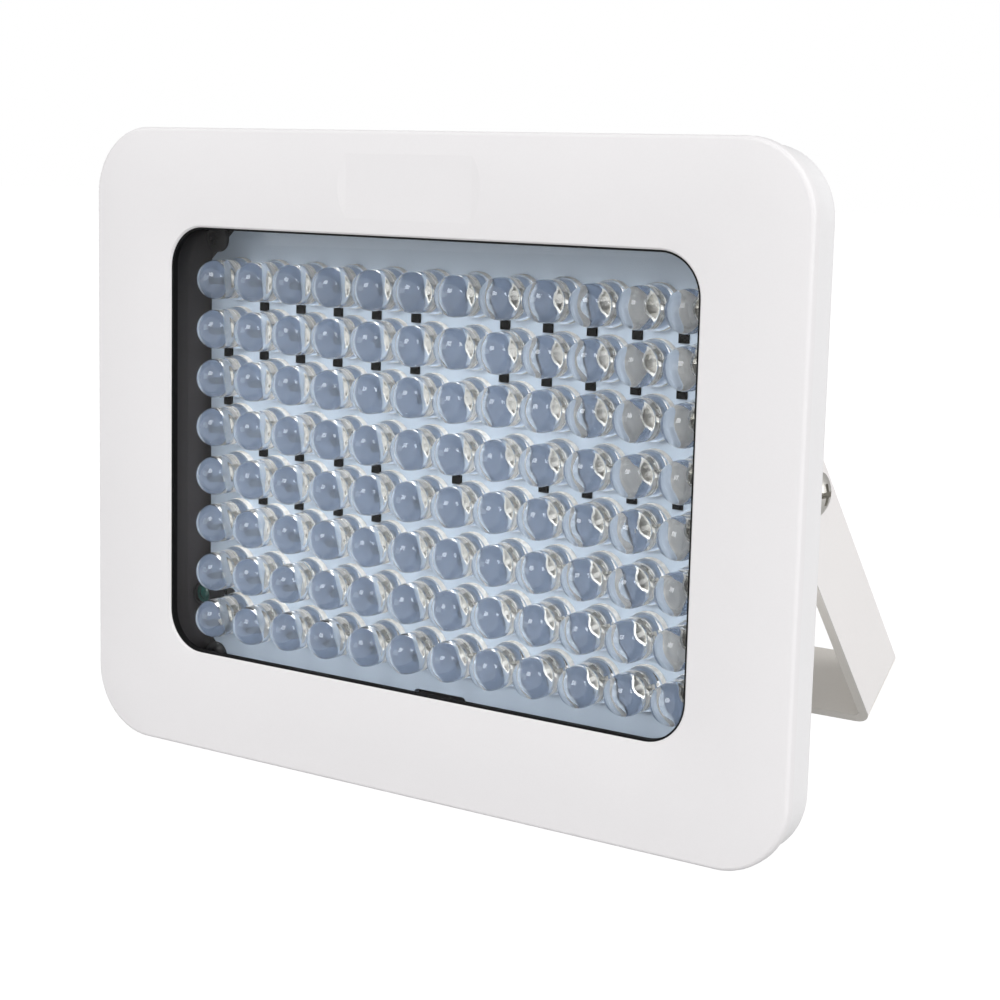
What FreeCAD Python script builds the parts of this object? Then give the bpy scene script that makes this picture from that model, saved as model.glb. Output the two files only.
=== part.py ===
import FreeCAD, Part
import math
import os
from FreeCAD import Vector

# Infrared illuminator with a tilting wall bracket. All sizes are in millimetres.
# The light looks along -Y, +X is to the right seen from the front, +Z is up.
# Everything is drawn from the centre of the cover's front plane, and moved at the
# end so that the origin lies on the bracket's middle hole, on its mounting face.

# LED array: clear domed lamps in a square grid
led_columns = 12
led_rows = 8
led_pitch = 10.0
led_diameter = 8.0
led_height = 11.8
led_flange_diameter = 8.8
led_flange_height = 1.6
led_dome_gap = 0.2
grid_drop = 2.0
board_drop = 1.0

# LED board
board_side_margin = 8.5
board_end_margin = 11.0
board_thickness = 1.6
board_corner_cut = 6.4
wire_notch_width = 12.7
wire_notch_depth = 3.2
wire_notch_shift = -2.4
wire_notch_round = 1.0
resistor_length = 2.0
resistor_width = 1.75
resistor_height = 0.6
resistor_drop = 0.35
resistor_shift = 0.75
resistor_pitch = 9.72
resistor_group_lines = 3
# Resistors stand in the gaps below these LED rows, at these column lines from the middle
resistor_lines = {
    1: (-5, -4, -3, -2, -1, 1, 2, 3, 4, 5),
    2: (-6, -5, -4, -3, -2, -1, 1, 2, 3, 4, 5),
    3: (-6,),
    4: (-5, -4, -3, -2, 0, 2, 3, 4, 5),
    5: (-5, -4, -3, -2),
}
# A few stand off their line: how far to the right and down, by row and line
resistor_strays = {
    (4, -3): (0.6, 0.1), (4, -2): (0.5, 0.4), (4, 0): (0.1, 0.5), (5, -3): (0.6, 0.1), (5, -2): (0.7, 0.2),
}

# Day and night light sensor in the slot at the board's left edge
sensor_rows_above = 7
sensor_drop = 1.1
sensor_inset = 1.8
sensor_diameter = 4.0
sensor_body_height = 2.2
sensor_lens_diameter = 2.6
sensor_lens_height = 0.5
sensor_lead_diameter = 0.5
sensor_lead_pitch = 2.54
sensor_slot_width = 2.0
sensor_slot_length = 7.0
sleeve_wall = 0.4
sleeve_height = 4.6
sleeve_lip = 0.2

# Window pane and its rubber gasket
window_side_margin = 6.3
window_end_margin = 8.25
window_corner = 8.2
window_rise = 0.44
window_edge_bevel = 0.3
lip_thickness = 0.9
gasket_flange = 0.8
gasket_wrap = 0.4
gasket_bead = 0.4
gasket_bead_setback = 0.4
glass_lap = 2.0
glass_thickness = 1.2

# Front cover
cover_thickness = 2.2
cover_step = 0.75
cover_crown_rise = 0.43
cover_crown_run = 10.0
cover_crown_drop = 0.6
window_crown_run = 9.0
cover_edge_round = 0.8
label_width = 29.2
label_height = 14.0
label_depth = 0.19
label_slope = 2.0
label_shift = -1.3
label_corner = 1.2

# Rear housing: a shallow tray, a step that carries the LED board, and a finned box
cavity_gap_side = 1.2
cavity_gap_end = 1.2
cavity_corner = 3.0
seal_land = 4.0
seal_width = 2.0
seal_depth = 1.4
trough_side = 9.95
trough_end = 5.75
tray_wall = 2.5
tray_depth = 8.8
tray_floor = 2.8
tray_corner = 13.0
tray_draft = 0.4
tray_edge_round = 1.8
step_wall = 2.6
ledge_width = 3.0
ledge_thickness = 4.4
rear_wall = 2.5
rear_corner = 8.0
rear_room_depth = 16.0
back_wall = 3.0
fin_height = 8.0
fin_pitch = 8.0
fin_root = 2.6
fin_tip = 1.8
fin_end_slope = 6.0
fin_margin = 4.0

# Screws that close the housing from behind
cover_screw_shank = 2.5
cover_screw_head = 5.4
cover_screw_head_height = 2.0
cover_screw_sink = 2.4
cover_screw_length = 6.0
cover_boss_height = 4.2
cover_boss_gap = 0.3
screw_hole_play = 0.2
screw_tip_gap = 0.4
head_play = 0.3

# Form of every pan head, as shares of its diameter or height
head_dome_share = 0.5
recess_length_share = 0.5
recess_width_share = 0.13
recess_depth_share = 0.6

# Screws that clamp the LED board's cut corners
board_screw_shank = 2.5
board_screw_head = 5.5
board_screw_head_height = 1.6
board_screw_length = 5.0
board_screw_gap = 0.4

# Driver board and its parts, inside the rear box
driver_width = 96.0
driver_height = 46.0
driver_thickness = 1.6
driver_rise = 13.0
driver_post_height = 4.0
driver_post_diameter = 6.0
driver_post_inset = 4.0
driver_screw_shank = 2.5
driver_screw_head = 5.0
driver_screw_head_height = 1.8
driver_screw_length = 5.0
transformer_width = 20.0
transformer_height = 16.0
transformer_depth = 7.4
transformer_coil_round = 3.0
transformer_coil_sink = 0.5
transformer_shift = -22.0
capacitor_diameter = 8.0
capacitor_length = 7.2
capacitor_pitch = 11.0
capacitor_shift = 10.0
terminal_width = 15.0
terminal_height = 8.0
terminal_depth = 8.0
terminal_mouth = 3.2
terminal_mouth_depth = 5.0
terminal_ways = 3
terminal_screw_gap = 2.0
terminal_edge_gap = 1.0

# Bracket: one bent strip of steel
strip_width = 15.0
strip_thickness = 2.0
bend_inside = 1.5
bracket_angle = 40.0
arm_step_gap = 1.9
swing_clearance = 2.7
middle_hole = 6.5
side_hole = 4.5
side_hole_circle = 80.0

# Pivot: boss on each side of the rear box, screw, toothed washer and friction washer
pivot_boss_diameter = 15.0
pivot_boss_height = 2.3
pivot_boss_inside = 6.0
pivot_boss_inside_diameter = 11.0
friction_washer_diameter = 13.0
friction_washer_thickness = 1.0
pivot_screw_shank = 4.0
pivot_screw_length = 10.0
pivot_screw_head = 8.0
pivot_screw_head_height = 3.1
pivot_play = 0.06
toothed_washer_diameter = 8.6
toothed_washer_thickness = 0.6
tooth_count = 12
tooth_depth = 1.1

# Cable gland below the driver board
gland_below_middle = 26.0
gland_thread = 12.0
gland_pad_diameter = 22.0
gland_pad_height = 2.0
gland_pad_moat = 2.0
gland_washer_diameter = 17.0
gland_washer_thickness = 0.6
gland_flats = 16.0
gland_flange = 4.0
gland_inner_thread = 9.5
gland_neck = 6.0
gland_neck_wall = 0.8
gland_floor = 1.0
gland_bore = 7.2
cable_bore = 6.5
gland_seal_proud = 1.0
gland_cap_gap = 0.4
gland_cap_wall = 2.2
gland_cap_nose = 4.6
gland_mouth = 7.6
locknut_flats = 17.0
locknut_thickness = 4.0

# Array, board and window
grid_width = (led_columns - 1) * led_pitch
grid_height = (led_rows - 1) * led_pitch
board_width = grid_width + 2 * board_side_margin
board_height = grid_height + 2 * board_end_margin
board_middle = grid_drop + board_drop
window_width = grid_width + 2 * window_side_margin
window_height = grid_height + 2 * window_end_margin
glass_width = window_width + 2 * glass_lap
glass_height = window_height + 2 * glass_lap
glass_corner = window_corner + glass_lap
pocket_width = glass_width + 2 * gasket_wrap
pocket_height = glass_height + 2 * gasket_wrap
pocket_corner = glass_corner + gasket_wrap

# Housing outlines, from the cavity outwards
cavity_width = max(board_width, pocket_width) + 2 * cavity_gap_side
cavity_height = 2 * max(
    board_height / 2 + board_middle + cavity_gap_end,
    pocket_height / 2 + window_rise + cavity_gap_end,
)
land_width = cavity_width + 2 * seal_land
land_height = cavity_height + 2 * seal_land
land_corner = cavity_corner + seal_land
trough_width = land_width + 2 * trough_side
trough_height = land_height + 2 * trough_end
tray_width = trough_width + 2 * tray_wall
tray_height = trough_height + 2 * tray_wall
cover_width = tray_width + 2 * cover_step
cover_height = tray_height + 2 * cover_step
step_width = cavity_width + 2 * step_wall
step_height = cavity_height + 2 * step_wall
room_width = board_width - 2 * ledge_width
room_height = board_height - 2 * ledge_width - 2 * board_middle
rear_width = room_width + 2 * rear_wall
rear_height = room_height + 2 * rear_wall

# Depths behind the front plane
glass_front = lip_thickness + gasket_flange
glass_back = glass_front + glass_thickness
board_face = glass_back + led_dome_gap + led_height
board_back = board_face + board_thickness
tray_back = cover_thickness + tray_depth
trough_floor = tray_back - tray_floor
step_back = board_back + ledge_thickness
room_floor = board_back + rear_room_depth
box_back = room_floor + back_wall
fin_back = box_back + fin_height

# Pivot and bracket
pivot_depth = step_back + arm_step_gap + strip_width / 2
boss_face = rear_width / 2 + pivot_boss_height
arm_inside = boss_face + friction_washer_thickness
arm_outside = arm_inside + strip_thickness
gland_pad_face = box_back + gland_pad_height
gland_seat = gland_pad_face + gland_washer_thickness
gland_flange_back = gland_seat + gland_flange
gland_neck_back = gland_flange_back + gland_neck
gland_seal_front = gland_flange_back + gland_floor
gland_seal_back = gland_neck_back + gland_seal_proud
gland_cap_front = gland_flange_back + gland_cap_gap
gland_tip = gland_seal_back + gland_cap_nose
swing_radius = max(
    math.hypot(pivot_depth - step_back, step_height / 2),
    math.hypot(fin_back - pivot_depth, rear_height / 2),
    math.hypot(gland_tip - pivot_depth, gland_below_middle + gland_flats / 2),
)
bracket_reach = swing_radius + swing_clearance + strip_thickness

# Small overlap that lets a cutting tool pass through a face
through = 1.0


def rounded_outline(width, height, corner, y, x=0.0, z=0.0):
    """Closed outline of a rectangle with round corners, upright at depth y."""
    arcs = []
    for quarter, (side, up) in enumerate(((1, 1), (-1, 1), (-1, -1), (1, -1))):
        centre = Vector(x + side * (width / 2 - corner), y, z + up * (height / 2 - corner))
        points = []
        for turn in (0, 45, 90):
            angle = math.radians(90 * quarter + turn)
            points.append(centre + Vector(corner * math.cos(angle), 0, corner * math.sin(angle)))
        arcs.append(Part.Arc(*points).toShape())
    edges = []
    for here, after in zip(arcs, arcs[1:] + arcs[:1]):
        edges.append(here)
        edges.append(Part.makeLine(here.valueAt(here.LastParameter), after.valueAt(after.FirstParameter)))
    return Part.Wire(edges)


def block(width, height, corner, front, back, x=0.0, z=0.0):
    """Rounded plate between two depths."""
    outline = rounded_outline(width, height, corner, front, x, z)
    return Part.Face(outline).extrude(Vector(0, back - front, 0))


def tapered_block(front_outline, back_outline):
    """Solid between two outlines of the same kind, with straight sides."""
    return Part.makeLoft([front_outline, back_outline], True, True)


def rod(diameter, front, back, x=0.0, z=0.0):
    """Round bar along Y between two depths."""
    return Part.makeCylinder(diameter / 2, back - front, Vector(x, front, z), Vector(0, 1, 0))


def tube(outer, inner, front, back, x=0.0, z=0.0):
    return rod(outer, front, back, x, z).cut(rod(inner, front - through, back + through, x, z))


def side_rod(diameter, inside, outside, y, side):
    """Round bar along X between two distances from the middle, on the named side."""
    return Part.makeCylinder(
        diameter / 2, outside - inside, Vector(side * inside, y, 0), Vector(side, 0, 0)
    )


def hexagon(flats, front, back, x=0.0, z=0.0):
    """Hexagonal bar along Y, measured across its flats."""
    radius = flats / math.sqrt(3)
    points = []
    for corner in range(7):
        angle = math.radians(60 * corner)
        points.append(Vector(x + radius * math.cos(angle), front, z + radius * math.sin(angle)))
    return Part.Face(Part.makePolygon(points)).extrude(Vector(0, back - front, 0))


def turned(profile, axis_point, axis):
    """Solid of revolution of a closed (radius, along) profile about an axis."""
    side = Vector(1, 0, 0) if abs(axis.x) < abs(axis.y) else Vector(0, 0, 1)
    points = []
    for radius, along in profile + profile[:1]:
        points.append(axis_point + side * radius + axis * along)
    face = Part.Face(Part.makePolygon(points))
    return face.revolve(axis_point, axis, 360)


def edges_at_depth(shape, depth):
    """Edges that lie wholly in the upright plane at one depth."""
    tolerance = 1e-6
    found = []
    for edge in shape.Edges:
        box = edge.BoundBox
        if abs(box.YMin - depth) < tolerance and abs(box.YMax - depth) < tolerance:
            found.append(edge)
    return found


def fuse_all(shapes):
    return shapes[0].multiFuse(shapes[1:]).removeSplitter()


def pan_head_screw(head, head_height, shank, length, seat, way):
    """Cross-recessed pan-head screw: seat is the point under its head, way points to the tip."""
    radius = head / 2
    rise = head_height * head_dome_share
    dome = (radius ** 2 + rise ** 2) / (2 * rise)
    half_way = math.asin(radius / dome) / 2
    side = Vector(0, 0, 1)
    rim = seat + side * radius
    shoulder = rim - way * (head_height - rise)
    crown = seat - way * head_height
    bulge = crown + way * (dome * (1 - math.cos(half_way))) + side * (dome * math.sin(half_way))
    top_arc = Part.Arc(shoulder, bulge, crown).toShape()
    tip = seat + way * length
    neck = seat + side * (shank / 2)
    foot = tip + side * (shank / 2)
    outline = Part.Wire([
        top_arc,
        Part.makeLine(crown, tip),
        Part.makeLine(tip, foot),
        Part.makeLine(foot, neck),
        Part.makeLine(neck, rim),
        Part.makeLine(rim, shoulder),
    ])
    screw = Part.Face(outline).revolve(seat, way, 360)
    return screw.cut(cross_recess(head, head_height, crown, way))


def cross_recess(head, head_height, crown, way):
    """Two crossed slots that a screwdriver turns."""
    length = head * recess_length_share
    width = head * recess_width_share
    depth = head_height * recess_depth_share
    slots = []
    for along, across in ((length, width), (width, length)):
        if abs(way.x) > abs(way.y):
            corner = Vector(-through, -along / 2, -across / 2)
            size = (depth + through, along, across)
        else:
            corner = Vector(-along / 2, -through, -across / 2)
            size = (along, depth + through, across)
        slot = Part.makeBox(*size, corner)
        if way.x < 0 or way.y < 0:
            slot.rotate(Vector(0, 0, 0), Vector(0, 0, 1), 180)
        slot.translate(crown)
        slots.append(slot)
    return slots[0].fuse(slots[1])


def led_axes(row):
    """X and Z of the LEDs in one row, counted from the top."""
    z = -grid_drop + grid_height / 2 - row * led_pitch
    return [(-grid_width / 2 + column * led_pitch, z) for column in range(led_columns)]


def cover_boss_diameter():
    return min(trough_end, trough_side) - 2 * cover_boss_gap


def cover_screw_places():
    """In the trough between the tray's two walls: tucked in its corners, and top and bottom."""
    round_off = tray_corner - tray_wall
    tuck = (round_off - cover_boss_diameter() / 2 - cover_boss_gap) / math.sqrt(2) - round_off
    x = trough_width / 2 + tuck
    z = trough_height / 2 + tuck
    corners = [(side * x, up * z) for side in (-1, 1) for up in (-1, 1)]
    return corners + [(0, up * (land_height + trough_height) / 4) for up in (-1, 1)]


def board_screw_places():
    """Just outside the board's cut corners, so that each head laps the board."""
    out = (board_screw_shank / 2 + board_screw_gap) / math.sqrt(2) - board_corner_cut / 2
    x = board_width / 2 + out
    z = board_height / 2 + out
    return [(side * x, up * z - board_middle) for side in (-1, 1) for up in (-1, 1)]


def driver_post_places():
    x = driver_width / 2 - driver_post_inset
    z = driver_height / 2 - driver_post_inset
    return [(side * x, up * z + driver_rise) for side in (-1, 1) for up in (-1, 1)]


def crown_cutter(spine, ridge, way, run, drop):
    """Ring above a flat arc that falls from the cover's ridge, swept along an outline."""
    bow = (run ** 2 + drop ** 2) / (2 * drop)
    full_turn = math.asin((run + through) / bow)
    arc = [ridge]
    for turn in (full_turn / 2, full_turn):
        arc.append(ridge + Vector(way * bow * math.sin(turn), bow * (1 - math.cos(turn)), 0))
    above = Vector(arc[2].x, ridge.y - through, ridge.z)
    above_ridge = Vector(ridge.x, ridge.y - through, ridge.z)
    section = Part.Wire([
        Part.Arc(*arc).toShape(),
        Part.makeLine(arc[2], above),
        Part.makeLine(above, above_ridge),
        Part.makeLine(above_ridge, ridge),
    ])
    return spine.makePipeShell([section], True, False)


def outer_crown_cutter():
    corner = tray_corner + cover_step
    spine = rounded_outline(cover_width, cover_height, corner, 0)
    ridge = Vector(cover_width / 2 - cover_crown_run, -cover_crown_rise, cover_height / 2 - corner)
    return crown_cutter(spine, ridge, 1, cover_crown_run, cover_crown_drop)


def window_crown_cutter():
    spine = rounded_outline(window_width, window_height, window_corner, 0, z=window_rise)
    ridge = Vector(
        window_width / 2 + window_crown_run, -cover_crown_rise,
        window_height / 2 - window_corner + window_rise,
    )
    return crown_cutter(spine, ridge, -1, window_crown_run, cover_crown_rise)


def label_cutter():
    """Flat-floored recess across the ridge: its top and bottom fade out where the arcs fall away."""
    z = window_rise + window_height / 2 + window_crown_run
    floor = label_depth - cover_crown_rise
    spread = 4 * label_slope
    return tapered_block(
        rounded_outline(
            label_width + spread, label_height + spread, label_corner + spread / 2,
            floor - 2 * label_depth, label_shift, z,
        ),
        rounded_outline(label_width, label_height, label_corner, floor, label_shift, z),
    )


# Front cover: a frame whose bars are gently crowned, with round outer edges, screwed on from behind
def make_front_cover():
    cover = block(
        cover_width, cover_height, tray_corner + cover_step, -cover_crown_rise, cover_thickness
    )
    cover = cover.cut(outer_crown_cutter())
    outer_edges = edges_at_depth(cover, cover_crown_drop - cover_crown_rise)
    cover = cover.makeFillet(cover_edge_round, outer_edges)
    cover = cover.cut(window_crown_cutter()).cut(label_cutter())
    opening = block(
        window_width, window_height, window_corner, -through, cover_thickness + through, z=window_rise
    )
    spread = window_edge_bevel + through
    bevel = tapered_block(
        rounded_outline(
            window_width + 2 * spread, window_height + 2 * spread, window_corner + spread,
            -through, z=window_rise,
        ),
        rounded_outline(window_width, window_height, window_corner, window_edge_bevel, z=window_rise),
    )
    cover = cover.cut(opening).cut(bevel)
    pocket = block(
        pocket_width, pocket_height, pocket_corner, lip_thickness, cover_thickness + through, z=window_rise
    )
    cover = cover.cut(pocket)
    boss = cover_boss_diameter()
    boss_back = cover_thickness + cover_boss_height
    hole_end = cover_hole_end()
    for x, z in cover_screw_places():
        cover = cover.fuse(rod(boss, cover_thickness - cover_edge_round, boss_back, x, z))
        cover = cover.cut(rod(cover_screw_shank, hole_end, boss_back + through, x, z))
    return cover.removeSplitter()


def cover_screw_seat():
    return tray_back - cover_screw_sink


def cover_hole_end():
    return cover_screw_seat() - cover_screw_length - screw_tip_gap


# Rubber gasket: wraps the pane's edge and shows as a thin black bead round the window
def make_window_gasket():
    wrap = block(
        pocket_width, pocket_height, pocket_corner, lip_thickness, glass_back, z=window_rise
    )
    bead = block(
        window_width, window_height, window_corner, gasket_bead_setback, lip_thickness, z=window_rise
    )
    hole = block(
        window_width - 2 * gasket_bead, window_height - 2 * gasket_bead,
        window_corner - gasket_bead, -through, glass_front + through, z=window_rise,
    )
    seat = block(
        glass_width, glass_height, glass_corner, glass_front, glass_back + through, z=window_rise
    )
    return wrap.fuse(bead).cut(hole).cut(seat).removeSplitter()


# Clear pane, bonded into the gasket
def make_window_glass():
    return block(glass_width, glass_height, glass_corner, glass_front, glass_back, z=window_rise)


# Rear housing: die-cast tray, step and finned box with bosses, one piece
def make_rear_housing():
    tray = tapered_block(
        rounded_outline(tray_width, tray_height, tray_corner, cover_thickness),
        rounded_outline(
            tray_width - 2 * tray_draft, tray_height - 2 * tray_draft,
            tray_corner - tray_draft, tray_back,
        ),
    )
    tray = tray.makeFillet(tray_edge_round, edges_at_depth(tray, tray_back))
    step = block(
        step_width, step_height, cavity_corner + step_wall, tray_back - tray_floor, step_back
    )
    box = block(rear_width, rear_height, rear_corner, step_back - through, box_back)
    housing = fuse_all([tray, step, box, make_fins()] + pivot_bosses())
    trough = block(
        trough_width, trough_height, tray_corner - tray_wall, cover_thickness - through, trough_floor
    )
    land = block(land_width, land_height, land_corner, cover_thickness - 2 * through, tray_back)
    housing = housing.cut(trough.cut(land))
    cavity = block(
        cavity_width, cavity_height, cavity_corner, cover_thickness - through, board_back
    )
    room = block(
        room_width, room_height, rear_corner - rear_wall, board_back - through, room_floor
    )
    housing = housing.cut(cavity).cut(room).cut(seal_ring(through))
    housing = housing.fuse(fuse_all(inner_bosses()))
    for x, z in cover_screw_places():
        column = rod(
            cover_boss_diameter(), cover_thickness + cover_boss_height, trough_floor + through, x, z
        )
        housing = housing.fuse(column)
    return cut_housing_holes(housing).removeSplitter()


def make_fins():
    """Upright cooling fins with sloping ends, and a clear round place for the cable gland."""
    half = int((rear_width / 2 - fin_margin) / fin_pitch)
    fins = []
    for number in range(-half, half + 1):
        x = number * fin_pitch
        profile = [
            Vector(x - fin_root / 2, box_back - through, -rear_height / 2),
            Vector(x + fin_root / 2, box_back - through, -rear_height / 2),
            Vector(x + fin_tip / 2, fin_back, -rear_height / 2),
            Vector(x - fin_tip / 2, fin_back, -rear_height / 2),
        ]
        face = Part.Face(Part.makePolygon(profile + profile[:1]))
        fins.append(face.extrude(Vector(0, 0, rear_height)))
    envelope = tapered_block(
        rounded_outline(rear_width, rear_height, rear_corner, box_back - through),
        rounded_outline(
            rear_width - 2 * fin_margin, rear_height - 2 * fin_end_slope, rear_corner, fin_back
        ),
    )
    moat = rod(
        gland_pad_diameter + 2 * gland_pad_moat, box_back, fin_back + through, z=-gland_below_middle
    )
    pad = rod(gland_pad_diameter, box_back - through, gland_pad_face, z=-gland_below_middle)
    return Part.makeCompound(fins).common(envelope).cut(moat).fuse(pad)


def pivot_bosses():
    return [
        side_rod(pivot_boss_diameter, room_width / 2 + rear_wall / 2, boss_face, pivot_depth, side)
        for side in (-1, 1)
    ]


def inner_bosses():
    """Blind bosses for the pivot screws and posts for the driver board."""
    bosses = []
    for side in (-1, 1):
        bosses.append(side_rod(
            pivot_boss_inside_diameter, room_width / 2 - pivot_boss_inside,
            room_width / 2 + rear_wall / 2, pivot_depth, side,
        ))
    for x, z in driver_post_places():
        post_front = room_floor - driver_post_height
        bosses.append(rod(driver_post_diameter, post_front, room_floor + through, x, z))
    return bosses


def cut_housing_holes(housing):
    """Holes for the cover, board, driver and pivot screws and for the gland."""
    seat = cover_screw_seat()
    for x, z in cover_screw_places():
        clearance = cover_screw_shank + 2 * screw_hole_play
        housing = housing.cut(rod(clearance, cover_thickness, tray_back + through, x, z))
        sink = rod(cover_screw_head + 2 * head_play, seat, tray_back + through, x, z)
        housing = housing.cut(sink)
    depth = board_face + board_screw_length + screw_tip_gap
    for x, z in board_screw_places():
        housing = housing.cut(rod(board_screw_shank, board_back - through, depth, x, z))
    driver_back = room_floor - driver_post_height
    depth = driver_back - driver_thickness + driver_screw_length + screw_tip_gap
    for x, z in driver_post_places():
        housing = housing.cut(rod(driver_screw_shank, driver_back - through, depth, x, z))
    for side in (-1, 1):
        tip = pivot_screw_seat() - pivot_screw_length - screw_tip_gap
        housing = housing.cut(
            side_rod(pivot_screw_shank, tip, boss_face + through, pivot_depth, side)
        )
    gland_hole = rod(
        gland_thread, room_floor - through, fin_back + through, z=-gland_below_middle
    )
    return housing.cut(gland_hole)


def seal_ring(extra=0.0):
    """Flat rubber ring in the groove of the seal land."""
    inset = (seal_land - seal_width) / 2
    inner_width = cavity_width + 2 * inset
    inner_height = cavity_height + 2 * inset
    corner = cavity_corner + inset
    front = cover_thickness - extra
    outer = block(
        inner_width + 2 * seal_width, inner_height + 2 * seal_width, corner + seal_width,
        front, cover_thickness + seal_depth,
    )
    inner = block(inner_width, inner_height, corner, front - through, tray_back)
    return outer.cut(inner)


# White LED board: cut corners, sensor slot in the left edge, wire notch in the bottom edge
def make_led_board():
    half_w = board_width / 2
    half_h = board_height / 2
    cut = board_corner_cut
    points = []
    for side, up in ((1, 1), (-1, 1), (-1, -1), (1, -1)):
        corner = [Vector(side * half_w, board_face, up * (half_h - cut) - board_middle),
                  Vector(side * (half_w - cut), board_face, up * half_h - board_middle)]
        points += corner if side * up > 0 else corner[::-1]
    face = Part.Face(Part.makePolygon(points + points[:1]))
    board = face.extrude(Vector(0, board_thickness, 0))
    slot_z = sensor_height()
    slot_end = -half_w + sensor_slot_length - sensor_slot_width / 2
    slot = Part.makeBox(
        sensor_slot_length - sensor_slot_width / 2 + through, board_thickness + 2 * through,
        sensor_slot_width,
        Vector(-half_w - through, board_face - through, slot_z - sensor_slot_width / 2),
    )
    slot_round = rod(sensor_slot_width, board_face - through, board_back + through, slot_end, slot_z)
    notch = block(
        wire_notch_width, 2 * wire_notch_depth, wire_notch_round,
        board_face - through, board_back + through, wire_notch_shift, -half_h - board_middle,
    )
    return board.cut(slot).cut(slot_round).cut(notch)


def sensor_height():
    return -grid_drop + grid_height / 2 - (sensor_rows_above - 0.5) * led_pitch - sensor_drop


# Clear LED: domed bullet with a flange at its foot
def make_led(x, z):
    radius = led_diameter / 2
    dome_top = board_face - led_height
    flange_front = board_face - led_flange_height
    shoulder = Vector(x + radius, dome_top + radius, z)
    arc = Part.Arc(
        Vector(x, dome_top, z),
        Vector(x + radius * math.sin(math.pi / 4), dome_top + radius * (1 - math.cos(math.pi / 4)), z),
        shoulder,
    ).toShape()
    points = [
        shoulder,
        Vector(x + radius, flange_front, z),
        Vector(x + led_flange_diameter / 2, flange_front, z),
        Vector(x + led_flange_diameter / 2, board_face, z),
        Vector(x, board_face, z),
        Vector(x, dome_top, z),
    ]
    outline = Part.Wire([arc] + Part.makePolygon(points).Edges)
    return Part.Face(outline).revolve(Vector(x, 0, z), Vector(0, 1, 0), 360)


def make_led_row(row):
    return Part.makeCompound([make_led(x, z) for x, z in led_axes(row)])


# Small black resistors between the LEDs, in a left and a right group
def make_board_resistors():
    chips = []
    for row, lines in resistor_lines.items():
        for line in lines:
            right, down = resistor_strays.get((row, line), (0, 0))
            group = resistor_group_lines * ((line > 0) - (line < 0))
            x = group * led_pitch + (line - group) * resistor_pitch + resistor_shift + right
            z = -grid_drop + grid_height / 2 - (row - 0.5) * led_pitch - resistor_drop - down
            corner = Vector(x - resistor_length / 2, board_face - resistor_height, z - resistor_width / 2)
            chips.append(Part.makeBox(resistor_length, resistor_height, resistor_width, corner))
    return Part.makeCompound(chips)


# Four screws whose heads lap the board's cut corners
def make_board_screws():
    return Part.makeCompound([
        pan_head_screw(
            board_screw_head, board_screw_head_height, board_screw_shank, board_screw_length,
            Vector(x, board_face, z), Vector(0, 1, 0),
        )
        for x, z in board_screw_places()
    ])


def sensor_x():
    return -board_width / 2 + sensor_inset


# Light sensor: a round cell with a small lens, standing on two leads in the board's slot
def make_light_sensor():
    z = sensor_height()
    x = sensor_x()
    body_front = board_face - sleeve_height + sleeve_lip + sensor_lens_height
    body_back = body_front + sensor_body_height
    lens_radius = sensor_lens_diameter / 2
    bulge = (lens_radius ** 2 + sensor_lens_height ** 2) / (2 * sensor_lens_height)
    ball = Part.makeSphere(bulge, Vector(x, body_front - sensor_lens_height + bulge, z))
    lens = ball.common(rod(
        sensor_lens_diameter + 2 * through, body_front - sensor_lens_height, body_front, x, z
    ))
    body = rod(sensor_diameter, body_front, body_back, x, z).fuse(lens)
    for side in (-1, 1):
        lead_x = x + side * sensor_lead_pitch / 2
        body = body.fuse(rod(
            sensor_lead_diameter, body_back - sensor_lead_diameter,
            board_back, lead_x, z,
        ))
    return body.removeSplitter()


# Black sleeve that shades the sensor from the LEDs
def make_sensor_sleeve():
    outer = sensor_diameter + 2 * sleeve_wall
    return tube(
        outer, sensor_diameter, board_face - sleeve_height, board_face, sensor_x(), sensor_height()
    )


# Driver board on four posts in the rear box
def driver_face():
    return room_floor - driver_post_height - driver_thickness


def make_driver_board():
    front = driver_face()
    board = Part.makeBox(
        driver_width, driver_thickness, driver_height,
        Vector(-driver_width / 2, front, driver_rise - driver_height / 2),
    )
    for x, z in driver_post_places():
        hole = driver_screw_shank + 2 * screw_hole_play
        board = board.cut(rod(hole, front - through, front + driver_thickness + through, x, z))
    return board


def make_driver_screws():
    return Part.makeCompound([
        pan_head_screw(
            driver_screw_head, driver_screw_head_height, driver_screw_shank, driver_screw_length,
            Vector(x, driver_face(), z), Vector(0, 1, 0),
        )
        for x, z in driver_post_places()
    ])


# Transformer: ferrite frame round a taped coil
def make_driver_transformer():
    back = driver_face()
    front = back - transformer_depth
    core = Part.makeBox(
        transformer_width, transformer_depth, transformer_height / 2,
        Vector(transformer_shift - transformer_width / 2, front, driver_rise - transformer_height / 4),
    )
    coil = block(
        transformer_width / 2, transformer_height, transformer_coil_round,
        front + transformer_coil_sink, back, transformer_shift, driver_rise,
    )
    return core.fuse(coil).removeSplitter()


def make_driver_capacitors():
    back = driver_face()
    cans = []
    for number in (-0.5, 0.5):
        z = driver_rise + number * capacitor_pitch
        can = rod(capacitor_diameter, back - capacitor_length, back, capacitor_shift, z)
        cans.append(can)
    return Part.makeCompound(cans)


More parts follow.
